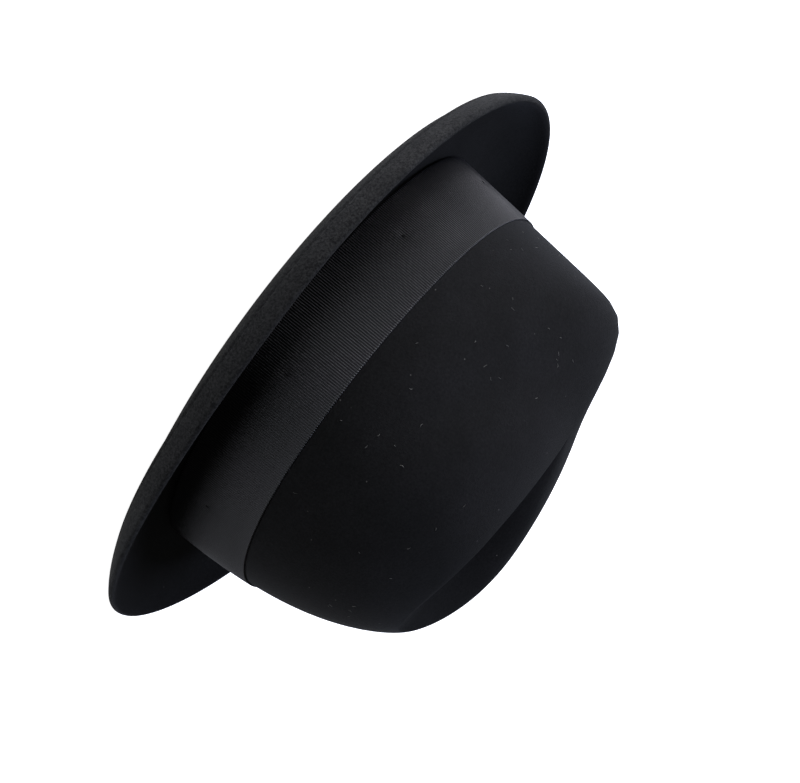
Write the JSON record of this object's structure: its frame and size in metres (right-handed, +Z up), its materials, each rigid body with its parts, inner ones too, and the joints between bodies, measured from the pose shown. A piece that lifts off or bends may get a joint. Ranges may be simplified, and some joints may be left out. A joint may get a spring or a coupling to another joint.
{
  "type": "felt hat",
  "caption": "Black felt hat with a teardrop crown, a wide grosgrain band and a short turned-up brim, worn on the head.",
  "frame": {"origin": "Under the middle of the brim, on the surface that the hat stands on: the bottom centre of its box.", "axes": "+Z is up, from the brim to the crown. -Y is the front of the hat, where the crown is pinched. +X is the wearer's left."},
  "size_m": [0.2472, 0.2932, 0.1256],
  "materials": {
    "felt": "black wool felt, short soft nap",
    "grosgrain": "black ribbed ribbon with a slight sheen",
    "thread": "black sewing thread",
    "sweatband_leather": "black smooth thin leather",
    "reed": "thin round reed covered in black tape",
    "lining_satin": "black satin",
    "label_tape": "plain woven tape, blank"
  },
  "bodies": {
    "root": {"felt_body": "felt", "brim_welt_stitching": "thread", "ribbon_band": "grosgrain", "ribbon_tacks": "thread", "ribbon_bow_loops": "grosgrain", "ribbon_bow_keeper": "grosgrain", "sweatband": "sweatband_leather", "sweatband_reed": "reed", "sweatband_stitching": "thread", "sweatband_back_bow": "grosgrain", "lining_side": "lining_satin", "lining_tip": "lining_satin", "size_label": "label_tape"}
  },
  "joints": []
}
